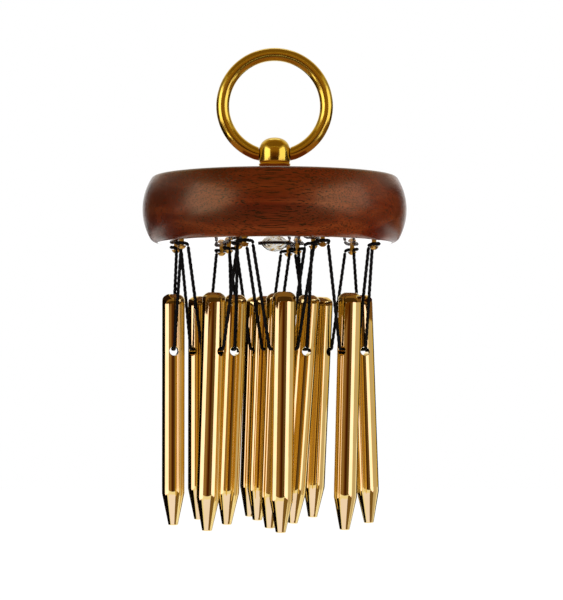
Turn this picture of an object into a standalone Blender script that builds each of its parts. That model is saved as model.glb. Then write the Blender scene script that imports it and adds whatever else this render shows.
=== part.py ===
"""Hand-held bar chime: twelve turned brass bars laced under a wooden disc that hangs from a finger ring.

The origin is where a finger bears: the top of the ring's opening. +Z is up and +X runs along the ring.
Two cords, one round eight outer pins and one round four inner pins, zigzag from pin to bar to pin.
"""
import math

import bmesh
import bpy
from mathutils import Matrix, Vector

MM = 0.001

# Fits
SEAT_GAP = 0.3 * MM
SWING_GAP = 0.65 * MM

# Finger ring
RING_OUTER_D = 42.0 * MM
RING_WIRE_D = 4.7 * MM
RING_SQUASH = 0.972  # height of the ring's lower half, as a share of a round one's
RING_END_FLAT = 0.7 * MM  # straight at each end, so that the spigot's shoulder is square
SPIGOT_D = 2.6 * MM  # the ring's ends, turned down to lie in the post's cross bore
SPIGOT_SPLIT = 0.6 * MM
SPIGOT_STEP = 0.1 * MM

# Domed post
POST_D = 11.5 * MM
DOME_ABOVE_PIVOT = 1.1 * MM
DOME_H = 4.5 * MM
GROOVE_BELOW_PIVOT = 3.6 * MM
GROOVE_DEPTH = 0.3 * MM
COLLAR_D = 11.6 * MM
COLLAR_ROUND = 2.0 * MM
FOOT_D = 10.0 * MM
FOOT_BELOW_PIVOT = 8.85 * MM

# Wooden disc
DISC_D = 94.6 * MM
DISC_THICK = 23.8 * MM
RIM_BULGE = 3.7 * MM
TOP_ROUND = 2.0 * MM
BOTTOM_ROUND = 3.5 * MM
SEAT_DEPTH = 0.6 * MM  # recess in the top for the post's foot

# Screw and washer under the disc
SCREW_D = 4.0 * MM
SCREW_HEAD_D = 9.5 * MM
SCREW_HEAD_H = 2.1 * MM
SCREW_GRIP = 4.5 * MM  # length inside the post
SLOT_W = 1.2 * MM
SLOT_DEPTH = 0.9 * MM
WASHER_D = 12.0 * MM
WASHER_THICK = 0.4 * MM

# Hanging pins, in degrees round the disc from +X, spaced by eye as on the real one
PIN_INSET = 9.8 * MM  # from the disc's rim to the outer pins
OUTER_PIN_ANGLES = (254, 296, 339, 40, 82, 122, 163, 210)
PIN_CIRCLE_STEP = 16.0 * MM  # from the outer pins in to the inner ones
INNER_PIN_ANGLES = (234, 309, 67, 141)
PIN_SHANK_D = 1.6 * MM
PIN_HEAD_D = 3.2 * MM
PIN_HEAD_H = 1.3 * MM
PIN_IN_WOOD = 8.0 * MM
PIN_POINT = 1.6 * MM

# Cord
CORD_D = 1.25 * MM
CORD_DROP = 35.9 * MM  # from the swing line down to the cord inside a bar
CORD_OFF_HEAD = 0.7 * MM  # the stiff cord stands this far off a pin's head

# Bars
BAR_D = 8.0 * MM
BAR_LENGTH = 82.0 * MM
BAR_HOLE_D = 3.2 * MM
BAR_HOLE_BELOW_TOP = 20.2 * MM
BAR_CHAMFER = 1.9 * MM
BAR_CONE = 11.3 * MM
BAR_TIP_D = 3.5 * MM
BAR_TIP_ROUND = 0.35 * MM
# Swing of each bar's cord at rest, in degrees outward: bars that touch push one another aside
OUTER_SWINGS = (0, 0, 0, 0, 0, 0, 3.0, 0)
INNER_SWINGS = (0, 0, 0, 0)
# Lean of each bar in the ring's plane, in degrees, tip towards +X
OUTER_LEANS = (-0.9, -1.4, 1.9, -2.6, -1.8, 0.0, 0.0, -1.7)
INNER_LEANS = (-2.0, -4.1, -2.0, -2.2)

# Facets
RING_STEPS = 17
DISC_STEPS = 56
POST_STEPS = 28
BAR_STEPS = 20
SMALL_STEPS = 20
PIN_STEPS = 10
HOLE_SIDES = 16
PIN_HOLE_SIDES = 10
TURN_STEPS = 12

# Sizes and heights that follow from those above
WIRE_R = RING_WIRE_D / 2
CORD_R = CORD_D / 2
RING_R = RING_OUTER_D / 2 - WIRE_R
RING_CENTRE_Z = WIRE_R - RING_R
RING_END_X = POST_D / 2 + SEAT_GAP
RING_BEND_X = RING_END_X + RING_END_FLAT
PIVOT_Z = RING_CENTRE_Z - RING_SQUASH * math.sqrt(RING_R**2 - RING_BEND_X**2)
FOOT_Z = PIVOT_Z - FOOT_BELOW_PIVOT
DISC_TOP_Z = FOOT_Z - SEAT_GAP + SEAT_DEPTH
DISC_BOTTOM_Z = DISC_TOP_Z - DISC_THICK
SCREW_HOLE_R = SCREW_D / 2 + SEAT_GAP
OUTER_PIN_R = DISC_D / 2 - PIN_INSET
INNER_PIN_R = OUTER_PIN_R - PIN_CIRCLE_STEP
CORD_RUN_Z = DISC_BOTTOM_Z - SEAT_GAP - CORD_R
PIN_HEAD_Z = CORD_RUN_Z - CORD_R - SEAT_GAP
SWING_Z = PIN_HEAD_Z - SEAT_GAP
PIN_REACH = PIN_HEAD_D / 2 + CORD_OFF_HEAD + CORD_R  # pin axis to the cord that drops past its head
EDGE_BEND = CORD_R + SEAT_GAP  # cord's middle round the mouth of a bar's hole
CORD_ABOVE_HOLE = BAR_HOLE_D / 2 - EDGE_BEND


def arc(centre, radius, start, end, count):
    """Points on a circle in the XZ plane, from one angle to another, in degrees."""
    turns = [math.radians(start + (end - start) * i / count) for i in range(count + 1)]
    return [(centre[0] + radius * math.cos(a), centre[1] + radius * math.sin(a)) for a in turns]


def angle_to(start, end):
    """Angle of the line between two XZ points, in degrees."""
    return math.degrees(math.atan2(end[1] - start[1], end[0] - start[0]))


def material(name, colour, metallic, roughness):
    """A plain surface of one colour, given as linear red, green and blue."""
    made = bpy.data.materials.new(name)
    made.use_nodes = True
    shader = made.node_tree.nodes["Principled BSDF"]
    shader.inputs["Base Color"].default_value = (*colour, 1.0)
    shader.inputs["Metallic"].default_value = metallic
    shader.inputs["Roughness"].default_value = roughness
    made.diffuse_color = (*colour, 1.0)
    return made


def collection(name):
    made = bpy.data.collections.new(name)
    bpy.context.scene.collection.children.link(made)
    return made


def place(name, data, finish=None, parent=None, location=(0, 0, 0)):
    """Add an object to the chime's collection, at a place in its parent's frame."""
    obj = bpy.data.objects.new(name, data)
    PARTS.objects.link(obj)
    obj.parent = parent
    obj.location = location
    if finish:
        obj.data.materials.append(finish)
    return obj


def pivot(name, parent, location, turn=0.0, swing=0.0):
    """An empty on a joint's axis: turned about Z so that its X runs along the axis, and swung about that."""
    obj = place(name, None, parent=parent, location=location)
    obj.empty_display_size = 4 * MM
    obj.rotation_euler = (swing, 0, turn)
    return obj


def turned(name, profile, steps, finish, closed=False, **where):
    """A profile of (radius, height) points, top to bottom down the outside, turned about Z."""
    edges = [(i, i + 1) for i in range(len(profile) - 1)]
    if closed:
        edges.append((len(profile) - 1, 0))
    mesh = bpy.data.meshes.new(name)
    mesh.from_pydata([(r, 0, z) for r, z in profile], edges, [])
    obj = place(name, mesh, finish, **where)
    screw = obj.modifiers.new("turn", "SCREW")
    screw.steps = screw.render_steps = steps
    screw.use_merge_vertices = True
    screw.merge_threshold = 0.001 * MM
    screw.use_smooth_shade = True
    return obj


def tube(name, points, radius, sides, finish, scales=None, **where):
    """A round wire or cord along a list of points, with closed ends. Scales thin it at each point."""
    curve = bpy.data.curves.new(name, "CURVE")
    curve.dimensions = "3D"
    curve.bevel_depth = radius
    curve.bevel_resolution = sides
    curve.use_fill_caps = True
    spline = curve.splines.new("POLY")
    spline.points.add(len(points) - 1)
    for point, at, scale in zip(spline.points, points, scales or [1.0] * len(points)):
        point.co = (*at, 1)
        point.radius = scale
    return place(name, curve, finish, **where)


def drill(name, target, radius, length, axis, centres, sides):
    """Cut round holes, along one axis and centred on the given points, out of a piece."""
    shape = bmesh.new()
    for centre in centres:
        matrix = Matrix.Translation(centre) @ Vector((0, 0, 1)).rotation_difference(axis).to_matrix().to_4x4()
        bmesh.ops.create_cone(
            shape, cap_ends=True, segments=sides, radius1=radius, radius2=radius, depth=length, matrix=matrix
        )
    cut(name, target, shape)


def mill_slot(name, target, size, centre):
    """Cut a straight slot, given by its size along X, Y and Z, out of a piece."""
    shape = bmesh.new()
    matrix = Matrix.Translation(centre) @ Matrix.Diagonal((*size, 1))
    bmesh.ops.create_cube(shape, size=1, matrix=matrix)
    cut(name, target, shape)


def cut(name, target, shape):
    """Take a shape, drawn in the target's frame, out of the target."""
    mesh = bpy.data.meshes.new(name)
    shape.to_mesh(mesh)
    shape.free()
    cutter = bpy.data.objects.new(name, mesh)
    CUTTERS.objects.link(cutter)
    cutter.parent = target
    cutter.hide_render = True
    cutter.display_type = "WIRE"
    boolean = target.modifiers.new(name, "BOOLEAN")
    boolean.object = cutter
    boolean.solver = "EXACT"


def finger_ring():
    """A ring of wire, a little flat below, whose ends are turned down to spigots in the post's cross bore."""
    round_part = arc((0, 0), RING_R, -math.degrees(math.acos(RING_BEND_X / RING_R)), 90, RING_STEPS)
    half = [(SPIGOT_SPLIT / 2, PIVOT_Z), (RING_END_X - SPIGOT_STEP, PIVOT_Z), (RING_END_X, PIVOT_Z)]
    half += [(x, RING_CENTRE_Z + z * (RING_SQUASH if z < 0 else 1)) for x, z in round_part]
    points = [(x, 0, z) for x, z in half]
    points += [(-x, 0, z) for x, z in reversed(half[:-1])]
    spigot = [SPIGOT_D / RING_WIRE_D] * 2
    tube("finger_ring", points, WIRE_R, 4, GOLD, spigot + [1.0] * (len(points) - 4) + spigot)


def domed_post(hinge):
    """A domed post with a groove and a rounded collar, cross-bored for the ring and tapped from below."""
    post_r = POST_D / 2
    groove = -GROOVE_BELOW_PIVOT
    collar = (COLLAR_D / 2 - COLLAR_ROUND, groove)
    dome = arc((0, 0), 1, 90, 0, 8)[1:]
    profile = [(0, DOME_ABOVE_PIVOT + DOME_H)] + [(post_r * x, DOME_ABOVE_PIVOT + DOME_H * z) for x, z in dome]
    profile += [(post_r, groove + GROOVE_DEPTH), (post_r - GROOVE_DEPTH, groove)]
    profile += arc(collar, COLLAR_ROUND, -10, -50, 4)
    profile += [(FOOT_D / 2, -FOOT_BELOW_PIVOT), (0, -FOOT_BELOW_PIVOT)]
    post = turned("domed_post", profile, POST_STEPS, GOLD, parent=hinge)
    bore = SPIGOT_D / 2 + SEAT_GAP
    drill("ring_bore", post, bore, 2 * POST_D, Vector((1, 0, 0)), [(0, 0, 0)], 2 * HOLE_SIDES)
    depth = SCREW_GRIP + SEAT_GAP
    drill("tapping", post, SCREW_HOLE_R, 2 * depth, Vector((0, 0, 1)), [(0, 0, -FOOT_BELOW_PIVOT)], HOLE_SIDES)


def wood_disc(hinge, pins):
    """A disc with a bulging rim and rounded edges, recessed for the post and bored for the screw and pins."""
    top = DISC_TOP_Z - PIVOT_Z
    bottom = DISC_BOTTOM_Z - PIVOT_Z
    middle = (top + bottom) / 2
    half = DISC_THICK / 2
    rim_r = (half**2 + RIM_BULGE**2) / (2 * RIM_BULGE)
    rim = (DISC_D / 2 - rim_r, middle)
    upper = (rim[0] + math.sqrt((rim_r - TOP_ROUND) ** 2 - (half - TOP_ROUND) ** 2), top - TOP_ROUND)
    lower = (rim[0] + math.sqrt((rim_r - BOTTOM_ROUND) ** 2 - (half - BOTTOM_ROUND) ** 2), bottom + BOTTOM_ROUND)
    seat = FOOT_D / 2 + SEAT_GAP
    profile = [(SCREW_HOLE_R, top - SEAT_DEPTH), (seat, top - SEAT_DEPTH), (seat, top)]
    profile += arc(upper, TOP_ROUND, 90, angle_to(rim, upper), 3)
    profile += arc(rim, rim_r, angle_to(rim, upper), angle_to(rim, lower), 6)[1:-1]
    profile += arc(lower, BOTTOM_ROUND, angle_to(rim, lower), -90, 4)
    profile += [(SCREW_HOLE_R, bottom)]
    disc = turned("wood_disc", profile, DISC_STEPS, WOOD, closed=True, parent=hinge)
    holes = [(at.x, at.y, bottom) for at in pins]
    depth = PIN_IN_WOOD + SEAT_GAP
    drill("pin_holes", disc, PIN_SHANK_D / 2 + SEAT_GAP, 2 * depth, Vector((0, 0, 1)), holes, PIN_HOLE_SIDES)


def post_fixing(hinge):
    """The washer and the domed slotted screw that draw the post down on the disc."""
    seat = DISC_BOTTOM_Z - PIVOT_Z - SEAT_GAP
    outer = WASHER_D / 2
    edge = WASHER_THICK / 4
    low = seat - WASHER_THICK
    profile = [(SCREW_HOLE_R, seat), (outer - edge, seat), (outer, seat - edge), (outer, low + edge)]
    profile += [(outer - edge, low), (SCREW_HOLE_R, low)]
    turned("post_washer", profile, SMALL_STEPS, RUBBER, closed=True, parent=hinge)
    head = low - SEAT_GAP
    head_r = SCREW_HEAD_D / 2
    shank = SCREW_D / 2
    tip = SCREW_GRIP - FOOT_BELOW_PIVOT
    dome_r = (head_r**2 + SCREW_HEAD_H**2) / (2 * SCREW_HEAD_H)
    dome = (0, head - SCREW_HEAD_H + dome_r)
    rim = angle_to(dome, (head_r, head))
    profile = [(0, tip), (shank * 0.8, tip), (shank, tip - shank * 0.2), (shank, head)]
    profile += arc(dome, dome_r, rim, -90, 4)[:-1] + [(0, head - SCREW_HEAD_H)]
    screw = turned("post_screw", profile, SMALL_STEPS, STEEL, parent=hinge)
    slot = (2 * SCREW_HEAD_D, SLOT_W, 2 * SLOT_DEPTH)
    mill_slot("driver_slot", screw, slot, (0, 0, head - SCREW_HEAD_H))


def hanging_pin(number, hinge, at):
    """A round-headed brass pin driven up into the disc, with a bare neck for the cord."""
    top = DISC_BOTTOM_Z + PIN_IN_WOOD - PIVOT_Z
    head = PIN_HEAD_Z - PIVOT_Z
    shank = PIN_SHANK_D / 2
    head_r = PIN_HEAD_D / 2
    dome_r = (head_r**2 + PIN_HEAD_H**2) / (2 * PIN_HEAD_H)
    dome = (0, head - PIN_HEAD_H + dome_r)
    profile = [(0, top), (shank, top - PIN_POINT), (shank, head)]
    profile += arc(dome, dome_r, angle_to(dome, (head_r, head)), -90, 3)[:-1] + [(0, head - PIN_HEAD_H)]
    turned(f"hanging_pin_{number:02d}", profile, PIN_STEPS, GOLD, parent=hinge, location=(at.x, at.y, 0))


def cord_turn(number, hinge, at, before, after):
    """The cord's turn round a pin's neck: up past the head from one bar, round the far side, down to the next."""
    outward = at.normalized()
    tangent = outward.orthogonal()
    sides = [math.atan2(way.dot(tangent), way.dot(outward)) for way in (before - at, after - at)]
    neck = PIN_SHANK_D / 2 + SEAT_GAP + CORD_R
    rise = CORD_RUN_Z - SWING_Z
    points = []
    for i in range(TURN_STEPS + 1):
        part = i / TURN_STEPS
        slow_ends = part - 0.9 * math.sin(2 * math.pi * part) / (2 * math.pi)
        angle = sides[0] + (sides[1] - sides[0]) * slow_ends
        lift = math.sin(math.pi * part)
        radius = PIN_REACH + (neck - PIN_REACH) * lift**2
        flat = at + radius * (math.cos(angle) * outward + math.sin(angle) * tangent)
        points.append((flat.x, flat.y, SWING_Z - PIVOT_Z + rise * math.sqrt(abs(lift))))
    tube(f"cord_turn_{number:02d}", points, CORD_R, 2, CORD, parent=hinge)


def cord_sling(number, swing, span):
    """The V of cord that carries one bar: down from a pin, through the bar's hole and up to the next pin."""
    start = (span / 2 - PIN_REACH, -SWING_GAP)
    edge = (BAR_D / 2, EDGE_BEND - CORD_DROP)
    reach = math.hypot(start[0] - edge[0], start[1] - edge[1])
    touch = angle_to(edge, start) - math.degrees(math.acos(EDGE_BEND / reach))
    half = [start] + arc(edge, EDGE_BEND, touch, -90, 4)
    points = [(x, 0, z) for x, z in half]
    points += [(-x, 0, z) for x, z in reversed(half)]
    tube(f"cord_sling_{number:02d}", points, CORD_R, 2, CORD, parent=swing)


def bar_mesh():
    """One bar about the cord in its hole: chamfered top, straight rod, cone, flat tip and cross hole along X."""
    top = BAR_HOLE_BELOW_TOP - CORD_ABOVE_HOLE
    tip = top - BAR_LENGTH
    rod = BAR_D / 2
    end = BAR_TIP_D / 2
    profile = [(0, top), (rod - BAR_CHAMFER, top), (rod - 0.3 * BAR_CHAMFER, top - 0.45 * BAR_CHAMFER)]
    profile += [(rod, top - BAR_CHAMFER), (rod, tip + BAR_CONE), (end, tip + BAR_TIP_ROUND)]
    profile += [(end - BAR_TIP_ROUND, tip), (0, tip)]
    bar = turned("bar_pattern", profile, BAR_STEPS, BRASS)
    drill("bar_hole", bar, BAR_HOLE_D / 2, 2 * BAR_D, Vector((1, 0, 0)), [(0, 0, -CORD_ABOVE_HOLE)], HOLE_SIDES)
    shape = bpy.context.evaluated_depsgraph_get()
    shape.update()
    mesh = bpy.data.meshes.new_from_object(bar.evaluated_get(shape))
    for used in (*bar.children, bar):
        bpy.data.objects.remove(used)
    return mesh


def lacing(first, hinge, radius, angles, swings, leans, mesh):
    """One circle of pins with its cord, and a bar hung in each sag between two pins."""
    pins = pin_circle(radius, angles)
    count = len(pins)
    for i, at in enumerate(pins):
        number = first + i
        after = pins[(i + 1) % count]
        hanging_pin(number, hinge, at)
        cord_turn(number, hinge, at, pins[i - 1], after)
        chord = after - at
        turn = math.atan2(chord.y, chord.x)
        middle = (at + after) / 2
        aside = -math.radians(swings[i])
        swing = pivot(f"swing_{number:02d}", hinge, (middle.x, middle.y, SWING_Z - PIVOT_Z), turn, aside)
        cord_sling(number, swing, chord.length)
        rock = pivot(f"rock_{number:02d}", swing, (0, 0, -CORD_DROP))
        bar = place(f"chime_bar_{number:02d}", mesh, parent=rock)
        lean = Matrix.Rotation(-math.radians(leans[i]), 3, "Y")
        facing = Matrix.Rotation(turn, 3, "Z")
        sling = facing @ Matrix.Rotation(aside, 3, "X")
        bar.rotation_euler = (sling.inverted() @ lean @ facing).to_euler()


def pin_circle(radius, angles):
    return [Vector((radius * math.cos(math.radians(a)), radius * math.sin(math.radians(a)))) for a in angles]


def build():
    finger_ring()
    hinge = pivot("ring_hinge", None, (0, 0, PIVOT_Z))
    domed_post(hinge)
    outer = pin_circle(OUTER_PIN_R, OUTER_PIN_ANGLES)
    inner = pin_circle(INNER_PIN_R, INNER_PIN_ANGLES)
    wood_disc(hinge, outer + inner)
    post_fixing(hinge)
    mesh = bar_mesh()
    lacing(1, hinge, OUTER_PIN_R, OUTER_PIN_ANGLES, OUTER_SWINGS, OUTER_LEANS, mesh)
    lacing(1 + len(outer), hinge, INNER_PIN_R, INNER_PIN_ANGLES, INNER_SWINGS, INNER_LEANS, mesh)


for old in list(bpy.data.objects):
    bpy.data.objects.remove(old)
PARTS = collection("bar_chime")
CUTTERS = collection("cutters")
GOLD = material("antique_brass", (0.62, 0.36, 0.05), 1.0, 0.16)
BRASS = material("polished_brass", (0.80, 0.56, 0.22), 1.0, 0.1)
WOOD = material("lacquered_mahogany", (0.11, 0.03, 0.012), 0.0, 0.35)
CORD = material("black_nylon", (0.012, 0.011, 0.011), 0.0, 0.7)
STEEL = material("nickel_plate", (0.62, 0.61, 0.6), 1.0, 0.25)
RUBBER = material("black_rubber", (0.012, 0.011, 0.011), 0.0, 0.8)
build()
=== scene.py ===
"""Looks of a hand-held bar chime: polished brass bars laced in black cord under a wooden disc.

Every visible piece is a surface worked out on a grid and put where its CAD solid is. Lengths are in
metres. +X is to the right in the photograph, +Y away from the viewer and +Z up.
"""
import math

import bmesh
import bpy
import numpy as np
from mathutils import Matrix, Vector


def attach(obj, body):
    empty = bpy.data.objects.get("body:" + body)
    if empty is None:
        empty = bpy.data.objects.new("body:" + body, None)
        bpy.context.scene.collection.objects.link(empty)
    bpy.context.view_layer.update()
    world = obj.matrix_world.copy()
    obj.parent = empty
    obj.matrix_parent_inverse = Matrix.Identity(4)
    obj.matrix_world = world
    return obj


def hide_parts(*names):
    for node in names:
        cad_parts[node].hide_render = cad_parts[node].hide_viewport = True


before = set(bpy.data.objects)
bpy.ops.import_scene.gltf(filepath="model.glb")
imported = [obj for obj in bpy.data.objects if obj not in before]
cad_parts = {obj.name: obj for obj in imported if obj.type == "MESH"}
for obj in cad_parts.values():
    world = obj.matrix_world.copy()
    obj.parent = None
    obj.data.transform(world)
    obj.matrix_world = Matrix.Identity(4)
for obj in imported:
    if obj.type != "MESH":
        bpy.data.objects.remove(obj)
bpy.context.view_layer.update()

MM = 0.001
GAP = 0.3 * MM  # play between neighbours, as in the CAD model

# Finger ring and domed post
WIRE_R = 2.35 * MM
RING_R = 18.65 * MM
RING_SQUASH = 0.972  # height of the ring's lower half, as a share of a circle's
SHOULDER_X = 5.8 * MM  # closer to the post than the CAD's, so that no slit shows
RING_END_X = 5.66 * MM  # the shoulder is cupped round the post
RING_BEND_X = 6.75 * MM  # where the circle ends
RING_END_DIP = 0.33 * MM  # the wire still slopes down where it meets the post
SPIGOT_R = 1.3 * MM
SPIGOT_SPLIT = 0.6 * MM  # between the two spigots' ends
POST_R = 5.75 * MM
DOME_H = 5.6 * MM
DOME_POWER = 0.87  # a power of 1 is a plain half ball, and less is fuller
BARREL_R = 24.0 * MM  # of the curve down the post's side
GROOVE_BELOW_PIVOT = 3.6 * MM
GROOVE_DEPTH = 0.3 * MM
COLLAR_R = 5.8 * MM
COLLAR_ROUND = 2.0 * MM
COLLAR_ARC = (-10, -50)  # degrees of its round that the collar shows
FOOT_R = 5.0 * MM
FOOT_BELOW_PIVOT = 8.85 * MM
FOOT_IN_DISC = 0.3 * MM  # the foot stands in a shallow recess
RING_CENTRE_Z = WIRE_R - RING_R
PIVOT_Z = RING_CENTRE_Z - RING_SQUASH * math.sqrt(RING_R**2 - RING_BEND_X**2)

# Wooden disc
DISC_R = 47.3 * MM
DISC_THICK = 23.8 * MM
DISC_TOP_Z = PIVOT_Z - FOOT_BELOW_PIVOT + FOOT_IN_DISC
DISC_BOTTOM_Z = DISC_TOP_Z - DISC_THICK
RIM_BULGE = 3.7 * MM
TOP_ROUND = 2.0 * MM
BOTTOM_ROUND = 3.5 * MM
FLAT_INNER_R = 20.0 * MM  # a ring of points within each flat face
FLAT_MARGIN = 0.5 * MM  # another ring, this far inside the rounded edge
UNDERSIDE_REACH = 0.02 * MM  # faces this close to the bottom are the underside

# Screw and washer under the disc
WASHER_GAP = 0.1 * MM  # this and the next are closer than the CAD's, so that no slit shows
SCREW_GAP = 0.02 * MM
WASHER_Z = DISC_BOTTOM_Z - WASHER_GAP
WASHER_R = 6.0 * MM
WASHER_HOLE_R = 2.3 * MM
WASHER_THICK = 0.4 * MM
SCREW_HEAD_Z = WASHER_Z - WASHER_THICK - SCREW_GAP
SCREW_HEAD_R = 4.75 * MM
SCREW_HEAD_H = 2.5 * MM
SCREW_SHANK_R = 2.0 * MM
SCREW_GRIP = 4.5 * MM  # length of the shank in the post
SCREW_TIP_Z = PIVOT_Z - FOOT_BELOW_PIVOT + SCREW_GRIP
SCREW_TIP_EDGE = 0.4 * MM
SLOT_HALF = 0.6 * MM
SLOT_FLOOR = 0.8 * MM

# Hanging pins, with angles in degrees from +X round to +Y
OUTER_PIN_R = 37.5 * MM
OUTER_PIN_ANGLES = (254, 296, 339, 40, 82, 122, 163, 210)
INNER_PIN_R = 21.5 * MM
INNER_PIN_ANGLES = (234, 309, 67, 141)
PIN_SHANK_R = 0.8 * MM
PIN_HEAD_R = 1.6 * MM
PIN_HEAD_H = 1.3 * MM
PIN_IN_WOOD = 8.0 * MM
PIN_TOP_Z = DISC_BOTTOM_Z + PIN_IN_WOOD
PIN_POINT = 1.6 * MM

# Cord
CORD_R = 0.625 * MM
CORD_LAY = 6.0 * MM  # length of one full twist of the strands
STRAND_SHARE = 0.62  # a strand's radius, as a share of the cord's
CORD_STEP = 0.3 * MM  # between rings of points along the cord
CORD_END = 0.8 * CORD_R  # length over which an end is rounded
CORD_END_LEAST = 0.08  # share of the cord's section that is left at the very end
CORD_OFF_HEAD = 0.7 * MM  # between the cord and the side of a pin's head
CORD_DROP = 35.9 * MM  # from the swing line down to the cord inside a bar
CORD_RUN_Z = DISC_BOTTOM_Z - GAP - CORD_R
PIN_HEAD_Z = CORD_RUN_Z - CORD_R - GAP
SWING_Z = PIN_HEAD_Z - GAP
PIN_REACH = PIN_HEAD_R + CORD_OFF_HEAD + CORD_R
NECK_REACH = PIN_SHANK_R + GAP + CORD_R
TURN_EASE = 0.9  # how far the cord lingers at the ends of its turn, from 0 to 1
EDGE_BEND = CORD_R + GAP

# Bars, with heights from the cord inside the bar's hole
BAR_R = 4.0 * MM
BAR_LENGTH = 82.0 * MM
BAR_HOLE_R = 1.6 * MM
BAR_HOLE_BELOW_TOP = 20.2 * MM
BAR_HOLE_Z = EDGE_BEND - BAR_HOLE_R
BAR_TOP = BAR_HOLE_Z + BAR_HOLE_BELOW_TOP
BAR_HOLE_EDGE = 0.14 * MM
BAR_CHAMFER = 1.9 * MM
BAR_CONE = 11.3 * MM
BAR_TIP_R = 1.75 * MM
BAR_TIP_ROUND = 0.35 * MM
BAR_COLUMNS = 64  # points round the rod
BAR_STEP = 2 * math.pi * BAR_R / BAR_COLUMNS
MOUTH_REACH = 8  # columns from the hole's middle to the edge of the square round its mouth
MOUTH_RINGS = (0.8, 0.6, 0.42, 0.26, 0.12, 0.04, 0.0)  # each ring's share of that square
OUTER_SWINGS = (0, 0, 0, 0, 0, 0, 3.0, 0)  # degrees outward
INNER_SWINGS = (0, 0, 0, 0)
OUTER_LEANS = (-0.9, -1.4, 1.9, -2.6, -1.8, 0.0, 0.0, -1.7)  # degrees, tip to the right
INNER_LEANS = (-2.0, -4.1, -2.0, -2.2)

# Camera, from the photograph: level with the bars, the disc seen slightly from below
CAMERA_AT = Vector((0, -731 * MM, -105.3 * MM))
CAMERA_LENS = 122.4
CAMERA_TILT = math.radians(1.516)
CAMERA_TURN = math.radians(-0.194)

# Studio
ROOM_LIGHT = 0.44  # strength of the white room where it lights
FLOOR_GLOW = 0.66  # what the floor's own light adds, up to white
FLOOR_Z = -0.42
FLOOR_HALF = 4.0
SECOND_GLOW = "#DCC888"  # what a reflection within a reflection sees of the studio
SECOND_BOUNCE = 1.5  # a ray is deeper than this from its second bounce on
SHEET = np.array([(-1, -1, 0), (1, -1, 0), (1, 1, 0), (-1, 1, 0)])  # faces up
TO_LEFT, TO_RIGHT = (-1, 0, 0), (1, 0, 0)
TO_FRONT, TO_BACK = (0, -1, 0), (0, 1, 0)
DOWN, UP = (0, 0, -1), (0, 0, 1)


def linear(code):
    """An sRGB hex colour as linear red, green and blue, with full alpha."""
    srgb = np.array([int(code[i:i + 2], 16) for i in (1, 3, 5)]) / 255
    flat = np.where(srgb <= 0.04045, srgb / 12.92, ((srgb + 0.055) / 1.055) ** 2.4)
    return (*flat.tolist(), 1.0)


def add(tree, kind, inputs=None, stops=(), **settings):
    """Add a node. Settings are its own properties, and inputs are values, or sockets to link from.

    Stops are the (position, hex colour) pairs of a colour ramp, in order.
    """
    made = tree.nodes.new("ShaderNode" + kind)
    for key, value in settings.items():
        setattr(made, key, value)
    for key, value in (inputs or {}).items():
        if isinstance(value, bpy.types.NodeSocket):
            tree.links.new(value, made.inputs[key])
        else:
            made.inputs[key].default_value = value
    for i, (at, code) in enumerate(stops):
        stop = made.color_ramp.elements[i] if i < 2 else made.color_ramp.elements.new(at)
        stop.position = at
        stop.color = linear(code)
    return made


def new_material(name):
    """An empty material, as (material, node tree)."""
    made = bpy.data.materials.new(name)
    made.use_nodes = True
    made.node_tree.nodes.clear()
    return made, made.node_tree


def finished(made, inputs):
    """A piece's material with its output and its principled shader, which takes the inputs."""
    shader = add(made.node_tree, "BsdfPrincipled", inputs)
    add(made.node_tree, "OutputMaterial", {"Surface": shader.outputs["BSDF"]})
    return made


def polished_brass():
    """Drawn brass rod, buffed lengthwise: a pale gold mirror with faint draw lines along it."""
    made, tree = new_material("polished_brass_rod")
    place = add(tree, "TexCoord").outputs["Object"]
    # Draw lines 50 mm long, spaced at 0.4 mm, coarser than real ones so that they show
    along = add(tree, "Mapping", {"Vector": place, "Scale": (2.5 / MM, 2.5 / MM, 0.02 / MM)})
    lines = add(tree, "TexNoise",
                {"Vector": along.outputs["Vector"], "Scale": 1.0, "Detail": 2.0})
    # Handling haze in patches about 12 mm across
    haze = add(tree, "TexNoise", {"Vector": place, "Scale": 0.08 / MM, "Detail": 3.0})
    tint = add(tree, "ValToRGB", {"Fac": haze.outputs["Fac"]},
               [(0.3, "#E6C87C"), (0.7, "#ECD08A")])
    gloss = add(tree, "MapRange", {"Value": haze.outputs["Fac"], "From Min": 0.3, "From Max": 0.75,
                                   "To Min": 0.012, "To Max": 0.04})
    bump = add(tree, "Bump",
               {"Height": lines.outputs["Fac"], "Strength": 0.012, "Distance": 0.02 * MM})
    return finished(made, {
        "Base Color": tint.outputs["Color"], "Roughness": gloss.outputs["Result"],
        "Normal": bump.outputs["Normal"], "Metallic": 1.0,
    })


def antique_gold():
    """Bent and turned brass under gold lacquer: deep yellow, with soft-edged reflections."""
    made, tree = new_material("gold_lacquered_brass")
    place = add(tree, "TexCoord").outputs["Object"]
    # Lacquer that pools in patches about 9 mm across
    pool = add(tree, "TexNoise", {"Vector": place, "Scale": 0.11 / MM, "Detail": 2.0})
    tint = add(tree, "ValToRGB", {"Fac": pool.outputs["Fac"]},
               [(0.3, "#CEAD3E"), (0.7, "#D6B74A")])
    gloss = add(tree, "MapRange", {"Value": pool.outputs["Fac"], "From Min": 0.3, "From Max": 0.7,
                                   "To Min": 0.15, "To Max": 0.18})
    return finished(made, {"Base Color": tint.outputs["Color"],
                           "Roughness": gloss.outputs["Result"], "Metallic": 1.0})


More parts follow.
